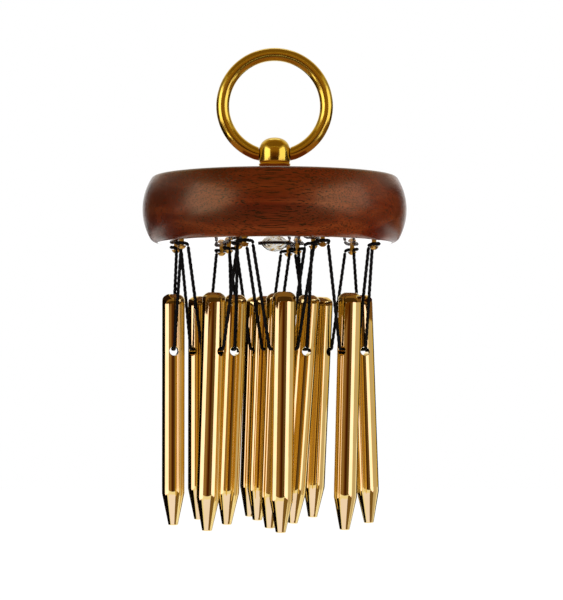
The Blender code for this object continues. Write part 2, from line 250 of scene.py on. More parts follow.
def pin_brass():
    """Brass escutcheon pins, tumbled bright and left bare: yellow, slightly dulled."""
    made, tree = new_material("bright_brass_pin")
    place = add(tree, "TexCoord").outputs["Object"]
    # Tumbling marks about 0.4 mm across
    marks = add(tree, "TexNoise", {"Vector": place, "Scale": 2.5 / MM, "Detail": 2.0})
    tint = add(tree, "ValToRGB", {"Fac": marks.outputs["Fac"]},
               [(0.35, "#A87C34"), (0.7, "#C79C50")])
    gloss = add(tree, "MapRange", {"Value": marks.outputs["Fac"], "To Min": 0.22, "To Max": 0.36})
    return finished(made, {"Base Color": tint.outputs["Color"],
                           "Roughness": gloss.outputs["Result"], "Metallic": 1.0})


def nickel():
    """Nickel-plated steel: a cool grey metal, lightly brushed by the barrel."""
    made, tree = new_material("nickel_plated_steel")
    place = add(tree, "TexCoord").outputs["Object"]
    # Plating grain, drawn 0.5 mm across so that it shows
    grain = add(tree, "TexNoise", {"Vector": place, "Scale": 2 / MM, "Detail": 3.0})
    tint = add(tree, "ValToRGB", {"Fac": grain.outputs["Fac"]},
               [(0.3, "#C2C0BC"), (0.7, "#CFCDC8")])
    gloss = add(tree, "MapRange", {"Value": grain.outputs["Fac"], "To Min": 0.14, "To Max": 0.18})
    return finished(made, {"Base Color": tint.outputs["Color"],
                           "Roughness": gloss.outputs["Result"], "Metallic": 1.0})


def black_rubber():
    """A punched rubber washer, matt black, a little grey where it is dusty; its black is also
    painted shade for the gap under the screw head.
    """
    made, tree = new_material("black_rubber")
    place = add(tree, "TexCoord").outputs["Object"]
    # Dust in patches about 1 mm across
    dust = add(tree, "TexNoise", {"Vector": place, "Scale": 1 / MM, "Detail": 2.0})
    tint = add(tree, "ValToRGB", {"Fac": dust.outputs["Fac"]},
               [(0.4, "#070606"), (0.8, "#15130F")])
    return finished(made, {"Base Color": tint.outputs["Color"], "Roughness": 0.8,
                           "Specular IOR Level": 0.2})


def lacquered_mahogany(name, coat_weight, coat_roughness):
    """Turned mahogany, stained and lacquered: red-brown bands with short dark pores along them."""
    made, tree = new_material(name)
    place = add(tree, "TexCoord").outputs["Object"]
    # Growth bands, 5 mm apart in height and 11 mm across the disc, that wander slowly along the
    # grain, which runs along X
    band_map = add(tree, "Mapping", {"Vector": place, "Scale": (0.014 / MM, 0.09 / MM, 0.2 / MM)})
    bands = add(tree, "TexNoise", {"Vector": band_map.outputs["Vector"], "Scale": 1.0,
                                   "Detail": 4.0, "Distortion": 0.8})
    tone = add(tree, "ValToRGB", {"Fac": bands.outputs["Fac"]},
               [(0.3, "#430C01"), (0.5, "#571703"), (0.72, "#6E2A0B")])
    # Pores up to 7 mm long, and 0.3 mm wide, a little wider than real ones so that they show
    pore_map = add(tree, "Mapping", {"Vector": place, "Scale": (0.14 / MM, 3 / MM, 3 / MM)})
    pores = add(tree, "TexNoise",
                {"Vector": pore_map.outputs["Vector"], "Scale": 1.0, "Detail": 2.0})
    open_pore = add(tree, "MapRange",
                    {"Value": pores.outputs["Fac"], "From Min": 0.52, "From Max": 0.64})
    colour = add(tree, "Mix", {"Factor": open_pore.outputs["Result"], "A": tone.outputs["Color"],
                               "B": linear("#200801")}, data_type="RGBA")
    bump = add(tree, "Bump", {"Height": open_pore.outputs["Result"], "Strength": 0.5,
                              "Distance": 0.05 * MM}, invert=True)
    return finished(made, {
        "Base Color": colour.outputs["Result"], "Normal": bump.outputs["Normal"],
        "Roughness": 0.23, "Specular IOR Level": 0.7, "Specular Tint": linear("#FFD894"),
        "Coat Weight": coat_weight, "Coat Roughness": coat_roughness,
    })


def black_cord():
    """Twisted nylon twine, waxed black: dull strands with fine fibres along them."""
    made, tree = new_material("waxed_nylon_twine")
    uv = add(tree, "UVMap", uv_map="strand").outputs["UV"]
    # Fibres 1 mm long and 0.07 mm wide, coarse enough to show, 60 round the cord: the UV's first
    # value goes once round it, and the second goes up by 1 in every twist of 6 mm
    fibre_map = add(tree, "Mapping", {"Vector": uv, "Scale": (60, 6, 1)})
    fibre = add(tree, "TexNoise",
                {"Vector": fibre_map.outputs["Vector"], "Scale": 1.0, "Detail": 3.0})
    tint = add(tree, "ValToRGB", {"Fac": fibre.outputs["Fac"]},
               [(0.3, "#030202"), (0.7, "#0B0908")])
    bump = add(tree, "Bump",
               {"Height": fibre.outputs["Fac"], "Strength": 0.3, "Distance": 0.04 * MM})
    return finished(made, {"Base Color": tint.outputs["Color"], "Normal": bump.outputs["Normal"],
                           "Roughness": 0.6, "Specular IOR Level": 0.08})


def grid_faces(rows, columns, closed_rows=False, closed_columns=True):
    """Quads between neighbours on a grid of points, row by row, joined round where closed."""
    row = np.arange(rows if closed_rows else rows - 1)[:, None]
    column = np.arange(columns if closed_columns else columns - 1)[None, :]
    below = (row + 1) % rows
    right = (column + 1) % columns
    corners = (row * columns + column, row * columns + right,
               below * columns + right, below * columns + column)
    return np.stack(corners, axis=-1).reshape(-1, 4)


def capped(points, faces, first, last):
    """Close a tube of grid rows at both ends with fans to the points first and last.

    A shape, here and below, is (points, blocks), and a block is an array of faces of one kind.
    """
    rows, columns = points.shape[:2]
    flat = points.reshape(-1, 3)
    start = np.arange(columns)
    end = start + (rows - 1) * columns
    fan_a = np.stack((np.roll(start, -1), start, np.full(columns, len(flat))), axis=-1)
    fan_b = np.stack((end, np.roll(end, -1), np.full(columns, len(flat) + 1)), axis=-1)
    return np.vstack((flat, first, last)), [faces, fan_a, fan_b]


def full_turn(steps):
    """Equal steps of angle once round, in radians, without the last, which is the first again."""
    return np.linspace(0, 2 * np.pi, steps, endpoint=False)


def turned(profile, steps, closed=False):
    """A profile of (radius, height) turned about Z: x = r cos a, y = r sin a, z = h.

    An open profile starts and ends on the axis, and those two ends are single points.
    """
    profile = np.array(profile)
    ring = profile if closed else profile[1:-1]
    angle = full_turn(steps)
    points = np.stack((np.outer(ring[:, 0], np.cos(angle)), np.outer(ring[:, 0], np.sin(angle)),
                       np.repeat(ring[:, 1:], steps, axis=1)), axis=-1)
    faces = grid_faces(len(ring), steps, closed_rows=closed)
    if closed:
        return points.reshape(-1, 3), [faces]
    return capped(points, faces, (0, 0, profile[0, 1]), (0, 0, profile[-1, 1]))


def joined(*shapes):
    """Several closed shapes as one: points in a row, with the faces' numbers moved up to match."""
    starts = np.cumsum([0] + [len(points) for points, _ in shapes])
    faces = [block + start for (_, blocks), start in zip(shapes, starts) for block in blocks]
    return np.vstack([points for points, _ in shapes]), faces


def arc(centre, radius, start, end, count):
    """Points on a circle from one angle to another, in degrees."""
    angle = np.radians(np.linspace(start, end, count + 1))
    return np.stack((centre[0] + radius * np.cos(angle),
                     centre[1] + radius * np.sin(angle)), axis=-1)


def angle_to(start, end):
    """Angle of the line between two flat points, in degrees."""
    return math.degrees(math.atan2(end[1] - start[1], end[0] - start[0]))


def even(path, spacing):
    """A path resampled at equal steps of length along it, and the length at each point."""
    steps = np.linalg.norm(np.diff(path, axis=0), axis=1)
    length = np.concatenate(([0], np.cumsum(steps)))
    count = max(3, round(length[-1] / spacing) + 1)
    at = np.linspace(0, length[-1], count)
    return np.stack([np.interp(at, length, path[:, i]) for i in range(3)], axis=-1), at


def frames(path, side):
    """Two unit vectors across a path at each point.

    The first is side with its part along the path removed, and the second is its cross product.
    """
    along = np.gradient(path, axis=0)
    along /= np.linalg.norm(along, axis=1, keepdims=True)
    across = side - along * (along @ side)[:, None]
    across /= np.linalg.norm(across, axis=1, keepdims=True)
    return across, np.cross(along, across)


def piece(name, shape, finish, body, nodes, sharp=30.0, matrix=None):
    """Make a mesh of a shape, set it in place of its CAD nodes and hang it on a body.

    It is shaded smooth, apart from edges that bend by more than sharp degrees.
    """
    points, blocks = shape
    mesh = bpy.data.meshes.new(name)
    mesh.from_pydata(points.tolist(), [], [face for block in blocks for face in block.tolist()])
    if matrix is not None:
        mesh.transform(matrix)
    work = bmesh.new()
    work.from_mesh(mesh)
    bmesh.ops.recalc_face_normals(work, faces=work.faces)
    work.to_mesh(mesh)
    work.free()
    mesh.shade_smooth()
    mesh.set_sharp_from_angle(angle=math.radians(sharp))
    mesh.materials.append(finish)
    obj = bpy.data.objects.new(name, mesh)
    bpy.context.scene.collection.objects.link(obj)
    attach(obj, body)
    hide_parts(*nodes)
    return obj


def ring_shape():
    """Round wire swept along a circle with a flattened lower half, and thin spigots at its ends."""
    start = -math.degrees(math.acos(RING_BEND_X / RING_R))
    around = arc((0, 0), RING_R, start, 90, count=80)
    around[:, 1] = RING_CENTRE_Z + np.where(around[:, 1] < 0, RING_SQUASH, 1) * around[:, 1]
    ends = [(SPIGOT_SPLIT / 2, PIVOT_Z), (SHOULDER_X, PIVOT_Z),
            (RING_END_X, PIVOT_Z - RING_END_DIP)]
    half = np.vstack((ends, around))
    wide = np.full(len(half), WIRE_R)
    wide[:2] = SPIGOT_R
    flat = np.vstack((half, (half * (-1, 1))[-2::-1]))
    radius = np.concatenate((wide, wide[-2::-1]))
    path = np.stack((flat[:, 0], np.zeros(len(flat)), flat[:, 1]), axis=-1)
    across, up = frames(path, np.array((0.0, 1.0, 0.0)))
    angle = full_turn(steps=40)
    spread = across[:, None] * np.cos(angle)[:, None] + up[:, None] * np.sin(angle)[:, None]
    points = path[:, None] + radius[:, None, None] * spread
    return capped(points, grid_faces(*points.shape[:2]), path[0], path[-1])


def post_shape():
    """The post, turned about Z: a full dome, a barrel side, a groove, a rounded collar and a foot.

    The dome is a superellipse, r = R cos(a)^p and z = H sin(a)^p, with DOME_POWER as p. The
    barrel's side falls in by z^2 / 2B, where B is BARREL_R.
    """
    groove = -GROOVE_BELOW_PIVOT
    angle = np.radians(np.linspace(90, 0, 41)[1:-1])
    dome = np.stack((POST_R * np.cos(angle) ** DOME_POWER, DOME_H * np.sin(angle) ** DOME_POWER),
                    axis=-1)
    side = np.linspace(0, groove + GROOVE_DEPTH, 13)
    barrel = np.stack((POST_R - side**2 / (2 * BARREL_R), side), axis=-1)
    collar = (COLLAR_R - COLLAR_ROUND, groove)
    profile = np.vstack((
        [(0, DOME_H)], dome, barrel,
        [(POST_R - 2 * GROOVE_DEPTH, groove - 0.8 * GROOVE_DEPTH)],
        arc(collar, COLLAR_ROUND, *COLLAR_ARC, count=14),
        [(FOOT_R, -FOOT_BELOW_PIVOT), (0, -FOOT_BELOW_PIVOT)],
    ))
    return turned(profile + (0, PIVOT_Z), steps=96)


def disc_shape():
    """The wooden disc, turned about Z: flat faces, round edges and a rim that is a circle's arc."""
    middle = (DISC_TOP_Z + DISC_BOTTOM_Z) / 2
    half = (DISC_TOP_Z - DISC_BOTTOM_Z) / 2
    rim_r = (half**2 + RIM_BULGE**2) / (2 * RIM_BULGE)
    rim = (DISC_R - rim_r, middle)
    upper = (rim[0] + math.sqrt((rim_r - TOP_ROUND) ** 2 - (half - TOP_ROUND) ** 2),
             DISC_TOP_Z - TOP_ROUND)
    lower = (rim[0] + math.sqrt((rim_r - BOTTOM_ROUND) ** 2 - (half - BOTTOM_ROUND) ** 2),
             DISC_BOTTOM_Z + BOTTOM_ROUND)
    profile = np.vstack((
        [(0, DISC_TOP_Z), (FLAT_INNER_R, DISC_TOP_Z), (upper[0] - FLAT_MARGIN, DISC_TOP_Z)],
        arc(upper, TOP_ROUND, 90, angle_to(rim, upper), count=12),
        arc(rim, rim_r, angle_to(rim, upper), angle_to(rim, lower), count=32)[1:-1],
        arc(lower, BOTTOM_ROUND, angle_to(rim, lower), -90, count=14),
        [(lower[0] - FLAT_MARGIN, DISC_BOTTOM_Z), (FLAT_INNER_R, DISC_BOTTOM_Z),
         (0, DISC_BOTTOM_Z)],
    ))
    return turned(profile, steps=240)


def washer_shape():
    """A flat ring with rounded corners, turned about Z."""
    edge = WASHER_THICK / 4
    high, low = WASHER_Z - edge, WASHER_Z - WASHER_THICK + edge
    inner, outer = WASHER_HOLE_R + edge, WASHER_R - edge
    profile = np.vstack((
        arc((outer, high), edge, 90, 0, count=5), arc((outer, low), edge, 0, -90, count=5),
        arc((inner, low), edge, -90, -180, count=5), arc((inner, high), edge, 180, 90, count=5),
    ))
    return turned(profile, steps=72, closed=True)


def screw_shape():
    """A domed screw head with a straight slot, on its shank.

    The head's grid has lines along the slot: x = v sqrt(R^2 - y^2), so that the slot's walls are
    straight. The dome's depth under the washer is that of a ball's cap, and no more than the slot's
    floor between its walls.
    """
    side = np.linspace(SLOT_HALF, SCREW_HEAD_R, 15)
    y = np.concatenate((-side[::-1], [-SLOT_HALF, 0, SLOT_HALF], side))
    slotted = np.zeros(len(y), bool)
    slotted[len(side):len(side) + 3] = True
    v = np.sin(np.linspace(-np.pi / 2, np.pi / 2, 41))
    x = v[:, None] * np.sqrt(np.maximum(SCREW_HEAD_R**2 - y**2, 0))
    dome_r = (SCREW_HEAD_R**2 + SCREW_HEAD_H**2) / (2 * SCREW_HEAD_H)
    depth = np.sqrt(dome_r**2 - x**2 - y**2) - dome_r + SCREW_HEAD_H
    depth = np.where(slotted, np.minimum(depth, SLOT_FLOOR), depth)
    across = np.broadcast_to(y, x.shape)
    dome = np.stack((x, across, SCREW_HEAD_Z - depth), axis=-1)
    seat = np.stack((x, across, np.full(x.shape, SCREW_HEAD_Z)), axis=-1)
    faces = grid_faces(*x.shape, closed_columns=False)
    head = joined((dome.reshape(-1, 3), [faces]), (seat.reshape(-1, 3), [faces[:, ::-1]]))
    shank = [(0, SCREW_TIP_Z), (SCREW_SHANK_R - SCREW_TIP_EDGE, SCREW_TIP_Z),
             (SCREW_SHANK_R, SCREW_TIP_Z - SCREW_TIP_EDGE), (SCREW_SHANK_R, SCREW_HEAD_Z),
             (0, SCREW_HEAD_Z)]
    return joined(head, turned(shank, steps=24))


def pin_shape():
    """A round-headed pin, point up, turned about Z."""
    dome_r = (PIN_HEAD_R**2 + PIN_HEAD_H**2) / (2 * PIN_HEAD_H)
    dome = (0, PIN_HEAD_Z - PIN_HEAD_H + dome_r)
    profile = np.vstack((
        [(0, PIN_TOP_Z), (PIN_SHANK_R, PIN_TOP_Z - PIN_POINT), (PIN_SHANK_R, PIN_HEAD_Z)],
        arc(dome, dome_r, angle_to(dome, (PIN_HEAD_R, PIN_HEAD_Z)), -90, count=10)[:-1],
        [(0, PIN_HEAD_Z - PIN_HEAD_H)],
    ))
    return turned(profile, steps=28)


def bar_profile():
    """A bar's outline from its top down, and its number of rows above the square round its hole.

    The top's edge is the curve (1-t)^2 a + 2t(1-t) b + t^2 c, and the cone is straight. Beside the
    hole the rows are as far apart as the columns.
    """
    top, tip = BAR_TOP, BAR_TOP - BAR_LENGTH
    a = np.array((BAR_R - BAR_CHAMFER, top))
    b = np.array((BAR_R - 0.1 * BAR_CHAMFER, top - 0.4 * BAR_CHAMFER))
    c = np.array((BAR_R, top - BAR_CHAMFER))
    t = np.linspace(0, 1, 9)[:, None]
    dome = (1 - t) ** 2 * a + 2 * t * (1 - t) * b + t**2 * c
    band = BAR_HOLE_Z + BAR_STEP * np.arange(MOUTH_REACH, -MOUTH_REACH - 1, -1)
    above = np.linspace(top - BAR_CHAMFER, band[0], 10)[1:-1]
    below = np.linspace(band[-1], tip + BAR_CONE, 24)[1:-1]
    rod_z = np.concatenate((above, band, below))
    rod = np.stack((np.full(len(rod_z), BAR_R), rod_z), axis=-1)
    t = np.linspace(0, 1, 13)[:, None]
    cone = (1 - t) * (BAR_R, tip + BAR_CONE) + t * (BAR_TIP_R, tip + BAR_TIP_ROUND)
    flat_r = BAR_TIP_R - BAR_TIP_ROUND
    tip_round = arc((flat_r, tip + BAR_TIP_ROUND), BAR_TIP_ROUND, 0, -90, count=6)[1:]
    profile = np.vstack(([(0, top)], dome, rod, cone, tip_round, [(0, tip)]))
    return profile, len(dome) + len(above)


def bar_shape():
    """One bar about the cord in its hole: its outline turned about Z, with a cross hole along X.

    Round each mouth of the hole a square of the rod's grid is taken out. Rings of points fill it,
    each a straight blend, on the unrolled rod, of the square's edge and the mouth's circle. The
    bore joins the two mouths.
    """
    profile, first = bar_profile()
    points, (quads, *fans) = turned(profile, BAR_COLUMNS)
    wide, half_turn = 2 * MOUTH_REACH, BAR_COLUMNS // 2
    row, column = quads[:, 0] // BAR_COLUMNS, quads[:, 0] % BAR_COLUMNS
    near = np.minimum((column + MOUTH_REACH) % BAR_COLUMNS,
                      (column + MOUTH_REACH - half_turn) % BAR_COLUMNS)
    quads = quads[~((row >= first) & (row < first + wide) & (near < wide))]

    # The square's edge, in rows down and columns along from the hole's middle
    run = np.arange(-MOUTH_REACH, MOUTH_REACH)
    low, high = np.full(wide, -MOUTH_REACH), np.full(wide, MOUTH_REACH)
    down = np.concatenate((low, run, high, -run))
    along = np.concatenate((run, high, -run, low))
    square = np.stack((along, down), axis=-1) * (BAR_STEP, -BAR_STEP)

    # Rings from the square to the mouth, and one more a little way into the bore
    heading = np.arctan2(square[:, 1], square[:, 0])
    circle = np.stack((np.cos(heading), np.sin(heading)), axis=-1)
    mouth = (BAR_HOLE_R + BAR_HOLE_EDGE) * circle
    mouth[:, 0] = BAR_R * np.arcsin(mouth[:, 0] / BAR_R)
    share = np.array(MOUTH_RINGS)[:, None, None]
    unrolled = share * square + (1 - share) * mouth
    angle = unrolled[..., 0] / BAR_R
    rings = np.stack((BAR_R * np.cos(angle), BAR_R * np.sin(angle),
                      BAR_HOLE_Z + unrolled[..., 1]), axis=-1)
    y = BAR_HOLE_R * circle[:, 0]
    x = np.sqrt(BAR_R**2 - y**2) - BAR_HOLE_EDGE
    bore = np.stack((x, y, BAR_HOLE_Z + BAR_HOLE_R * circle[:, 1]), axis=-1)
    rings = np.vstack((rings, bore[None]))

    # The same rings turned half round are the far mouth's. Each set joins the rod at its square
    count, around = rings.shape[:2]
    ids = len(points) + np.arange(count * around).reshape(count, around)
    far_ids = ids + count * around
    links = [grid_faces(count, around) + numbers[0, 0] for numbers in (ids, far_ids)]
    for numbers, turn in ((ids, 0), (far_ids, half_turn)):
        outer = (first + MOUTH_REACH + down) * BAR_COLUMNS + (along + turn) % BAR_COLUMNS
        inner = numbers[0]
        links.append(np.stack((outer, np.roll(outer, -1), np.roll(inner, -1), inner), axis=-1))

    # Across the bore, a point's partner has the mirrored heading, pi - heading, on the far mouth
    far = far_ids[-1][np.argsort(heading)]
    mirrored = (np.pi - heading + np.pi) % (2 * np.pi)
    partner = far[np.argsort(np.argsort(mirrored))]
    inner = ids[-1]
    links.append(np.stack((inner, np.roll(inner, -1), np.roll(partner, -1), partner), axis=-1))

    # Points inside the squares are left over, and go
    points = np.vstack((points, rings.reshape(-1, 3), rings.reshape(-1, 3) * (-1, -1, 1)))
    blocks = [quads, *links, *fans]
    used = np.unique(np.concatenate([block.ravel() for block in blocks]))
    renumber = np.zeros(len(points), int)
    renumber[used] = np.arange(len(used))
    return points[used], [renumber[block] for block in blocks]


def twine(path, side):
    """A three-strand cord along a path, with round ends, and its UV map.

    Round the cord the radius is that of three touching circles: c cos a + sqrt(s^2 - c^2 sin^2 a),
    where a is the angle from the nearest strand's middle, s is a strand's radius and c its distance
    from the cord's middle. The strands turn once in every CORD_LAY of length.
    """
    path, length = even(np.asarray(path), CORD_STEP)
    across, up = frames(path, np.asarray(side))
    angle = full_turn(steps=18)
    strand = CORD_R * STRAND_SHARE
    offset = CORD_R - strand
    nearest = (angle + np.pi / 3) % (2 * np.pi / 3) - np.pi / 3
    beyond = np.sqrt(np.maximum(strand**2 - (offset * np.sin(nearest)) ** 2, 0))
    radius = offset * np.cos(nearest) + beyond
    spin = angle + 2 * np.pi * length[:, None] / CORD_LAY
    from_end = np.minimum(length, length[-1] - length)
    taper = np.sqrt(np.clip(1 - (1 - from_end / CORD_END).clip(0) ** 2, CORD_END_LEAST, 1))
    out = across[:, None] * np.cos(spin)[..., None] + up[:, None] * np.sin(spin)[..., None]
    points = path[:, None] + out * (radius * taper[:, None])[..., None]
    shape = capped(points, grid_faces(*points.shape[:2]), path[0], path[-1])
    twists = length[:, None] / CORD_LAY
    uv = np.stack(np.broadcast_arrays(angle / (2 * np.pi), twists), axis=-1).reshape(-1, 2)
    return shape, np.vstack((uv, (0, 0), (0, length[-1] / CORD_LAY)))


def cord_piece(name, path, side, body):
    """A length of twine with its strand UV map, in place of the CAD cord of that name."""
    shape, uv = twine(path, side)
    obj = piece(name + "_twine", shape, CORD, body, [name], sharp=180.0)
    corner = np.zeros(len(obj.data.loops), np.int32)
    obj.data.loops.foreach_get("vertex_index", corner)
    layer = obj.data.uv_layers.new(name="strand")
    layer.uv.foreach_set("vector", uv[corner].astype(np.float32).ravel())


def turn_path(at, before, after):
    """The cord round a pin's neck, from one neighbour's side round the outer side to the other's.

    The radius falls by sin^2 from the head's edge to the neck and back, the height rises by
    sqrt(sin), and the angle goes as t - e sin(2 pi t) / 2 pi, with TURN_EASE as e.
    """
    outward = at / np.linalg.norm(at)
    tangent = np.array((-outward[1], outward[0]))
    sides = [math.atan2((way - at) @ tangent, (way - at) @ outward) for way in (before, after)]
    t = np.linspace(0, 1, 81)
    eased = t - TURN_EASE * np.sin(2 * np.pi * t) / (2 * np.pi)
    angle = sides[0] + (sides[1] - sides[0]) * eased
    lift = np.sin(np.pi * t)
    radius = PIN_REACH + (NECK_REACH - PIN_REACH) * lift**2
    out = np.cos(angle)[:, None] * outward + np.sin(angle)[:, None] * tangent
    height = SWING_Z + (CORD_RUN_Z - SWING_Z) * np.sqrt(np.abs(lift))
    return np.column_stack((at + radius[:, None] * out, height))


def sling_path(span):
    """The V of cord in its own plane: from a pin, round the mouth of the bar's hole and back up.

    Each leg is a straight line that touches the circle by which the cord bends into the hole.
    """
    start = np.array((span / 2 - PIN_REACH, 0.0))
    edge = np.array((BAR_R, EDGE_BEND - CORD_DROP))
    leg = np.linalg.norm(start - edge)
    touch = angle_to(edge, start) - math.degrees(math.acos(EDGE_BEND / leg))
    half = np.vstack((start, arc(edge, EDGE_BEND, touch, -90, count=10)))
    flat = np.vstack((half, half[::-1] * (-1, 1)))
    return np.column_stack((flat[:, 0], np.zeros(len(flat)), flat[:, 1]))


def lacing(first, radius, angles, swings, leans, pin, bar):
    """One circle of pins with its cord, and a bar hung in each sag between two pins."""
    turns = np.radians(angles)
    pins = radius * np.stack((np.cos(turns), np.sin(turns)), axis=-1)
    for i, at in enumerate(pins):
        number = f"{first + i:02d}"
        after = pins[(i + 1) % len(pins)]
        piece(f"hanging_pin_{number}_brass", pin, PIN_BRASS, "disc",
              [f"hanging_pin_{number}"], matrix=Matrix.Translation((*at, 0)))
        around = turn_path(at, pins[i - 1], after)
        cord_piece(f"cord_turn_{number}", around, (0.0, 0.0, 1.0), "disc")
        chord = after - at
        facing = Matrix.Rotation(math.atan2(chord[1], chord[0]), 4, "Z")
        aside = Matrix.Rotation(-math.radians(swings[i]), 4, "X")
        swing = Matrix.Translation((*(at + after) / 2, SWING_Z)) @ facing @ aside
        place = np.array(swing)
        path = sling_path(np.linalg.norm(chord)) @ place[:3, :3].T + place[:3, 3]
        cord_piece(f"cord_sling_{number}", path, place[:3, 1], f"sling_{number}")
        rock = swing @ Vector((0, 0, -CORD_DROP))
        lean = Matrix.Rotation(-math.radians(leans[i]), 4, "Y")
        piece(f"chime_bar_{number}_rod", bar, BRASS, f"bar_{number}",
              [f"chime_bar_{number}"], sharp=15.0,
              matrix=Matrix.Translation(rock) @ lean @ facing)


def camera():
    """The photograph's camera, tilted up a little."""
    data = bpy.data.cameras.new("camera")
    data.lens = CAMERA_LENS
    obj = bpy.data.objects.new("camera", data)
    obj.location = CAMERA_AT
    obj.rotation_euler = (math.pi / 2 + CAMERA_TILT, 0, CAMERA_TURN)
    bpy.context.scene.collection.objects.link(obj)
    bpy.context.scene.camera = obj


def white_room():
    """A world that is white where it is seen, also in metal, and a soft grey where it lights.

    A reflection within a reflection sees one even shade of it, as of the cards.
    """
    world = bpy.data.worlds.new("white_room")
    world.use_nodes = True
    tree = world.node_tree
    tree.nodes.clear()
    ray = add(tree, "LightPath").outputs
    seen = add(tree, "Math", {0: ray["Is Camera Ray"], 1: ray["Is Glossy Ray"]},
               operation="MAXIMUM")
    seen = add(tree, "Math", {0: seen.outputs[0], 1: ray["Is Transmission Ray"]},
               operation="MAXIMUM")
    strength = add(tree, "MapRange",
                   {"Value": seen.outputs[0], "To Min": ROOM_LIGHT, "To Max": 1.0})
    back = add(tree, "Background",
               {"Color": linear("#FFFFFF"), "Strength": strength.outputs["Result"]})
    blur = add(tree, "Background", {"Color": linear(SECOND_GLOW), "Strength": 1.0})
    again = add(tree, "Math", {0: ray["Ray Depth"], 1: SECOND_BOUNCE}, operation="GREATER_THAN")
    again = add(tree, "Math", {0: again.outputs[0], 1: ray["Is Glossy Ray"]}, operation="MULTIPLY")
    both = add(tree, "MixShader", {0: again.outputs[0], 1: back.outputs[0], 2: blur.outputs[0]})
    add(tree, "OutputWorld", {"Surface": both.outputs[0]})
    bpy.context.scene.world = world


def stage_sheet(name, corners, finish):
    """A flat sheet with four corners that isn't part of the chime."""
    mesh = bpy.data.meshes.new(name)
    mesh.from_pydata(corners.tolist(), [], [(0, 1, 2, 3)])
    mesh.materials.append(finish)
    obj = bpy.data.objects.new(name, mesh)
    bpy.context.scene.collection.objects.link(obj)
    return obj


def floor():
    """A pale floor well below the bars, white to the camera apart from the chime's faint shadow."""
    made, tree = new_material("white_floor")
    matt = add(tree, "BsdfDiffuse", {"Color": linear("#F2F2F2")})
    glow = add(tree, "Emission", {"Color": linear("#FFFFFF"), "Strength": FLOOR_GLOW})
    both = add(tree, "AddShader", {0: matt.outputs[0], 1: glow.outputs[0]})
    add(tree, "OutputMaterial", {"Surface": both.outputs[0]})
    stage_sheet("floor", SHEET * FLOOR_HALF + (0, 0, FLOOR_Z), made)


def softbox(name, at, size, facing, power):
    """A flat lamp of the given width and height that lights, but isn't mirrored."""
    data = bpy.data.lights.new(name, "AREA")
    data.shape = "RECTANGLE"
    data.size, data.size_y = size
    data.energy = power
    obj = bpy.data.objects.new(name, data)
    obj.location = at
    obj.rotation_euler = Vector(facing).to_track_quat("-Z", "Y").to_euler()
    obj.visible_glossy = False
    bpy.context.scene.collection.objects.link(obj)


def card(name, at, size, facing, code, strength=1.0, clear_back=False):
    """A studio card that only reflections see: a flat sheet of one brightness.

    A reflection within a reflection sees every card in one even shade, which spares the picture its
    grain. A card with a clear back is seen only from the way it faces.
    """
    made, tree = new_material(name)
    glow = add(tree, "Emission", {"Color": linear(code), "Strength": strength})
    blur = add(tree, "Emission", {"Color": linear(SECOND_GLOW), "Strength": 1.0})
    depth = add(tree, "LightPath").outputs["Ray Depth"]
    again = add(tree, "Math", {0: depth, 1: SECOND_BOUNCE}, operation="GREATER_THAN")
    both = add(tree, "MixShader", {0: again.outputs[0], 1: glow.outputs[0], 2: blur.outputs[0]})
    if clear_back:
        behind = add(tree, "NewGeometry").outputs["Backfacing"]
        clear = add(tree, "BsdfTransparent")
        both = add(tree, "MixShader", {0: behind, 1: both.outputs[0], 2: clear.outputs[0]})
    add(tree, "OutputMaterial", {"Surface": both.outputs[0]})
    obj = stage_sheet(name, SHEET * (size[0] / 2, size[1] / 2, 1), made)
    obj.location = at
    obj.rotation_euler = Vector(facing).to_track_quat("Z", "Y").to_euler()
    obj.visible_camera = False
    obj.visible_diffuse = False
    obj.visible_shadow = False


BRASS = polished_brass()
GOLD = antique_gold()
PIN_BRASS = pin_brass()
NICKEL = nickel()
RIM_WOOD = lacquered_mahogany("satin_lacquered_mahogany", coat_weight=0.0, coat_roughness=0.3)
UNDERSIDE_WOOD = lacquered_mahogany("gloss_lacquered_mahogany", coat_weight=1.0,
                                    coat_roughness=0.02)
CORD = black_cord()
WASHER_BLACK_AND_SHADE = black_rubber()

piece("finger_ring_wire", ring_shape(), GOLD, "ring", ["finger_ring"])
piece("domed_post_brass", post_shape(), GOLD, "disc", ["domed_post"])
disc = piece("wood_disc_turned", disc_shape(), RIM_WOOD, "disc", ["wood_disc"],
             sharp=60.0)
# The flat underside is rubbed to a gloss, so that it mirrors at the low angle it is seen from
disc.data.materials.append(UNDERSIDE_WOOD)
centres = np.zeros(3 * len(disc.data.polygons), np.float32)
disc.data.polygons.foreach_get("center", centres)
underside = centres[2::3] < DISC_BOTTOM_Z + UNDERSIDE_REACH
disc.data.polygons.foreach_set("material_index", underside.astype(np.int32))
# The washer's black is partly painted shade, for the dark gap between the screw head and the disc
piece("post_washer_black_and_shade", washer_shape(), WASHER_BLACK_AND_SHADE, "disc", ["post_washer"],
      sharp=60.0)
piece("post_screw_nickel", screw_shape(), NICKEL, "disc", ["post_screw"])
pin, bar = pin_shape(), bar_shape()
lacing(1, OUTER_PIN_R, OUTER_PIN_ANGLES, OUTER_SWINGS, OUTER_LEANS, pin, bar)
lacing(1 + len(OUTER_PIN_ANGLES), INNER_PIN_R, INNER_PIN_ANGLES, INNER_SWINGS, INNER_LEANS,
       pin, bar)

camera()
white_room()
floor()
softbox("front_softbox", (0.3, -0.45, -0.05), (0.36, 0.37), (-0.3, 0.45, 0), 1.5)

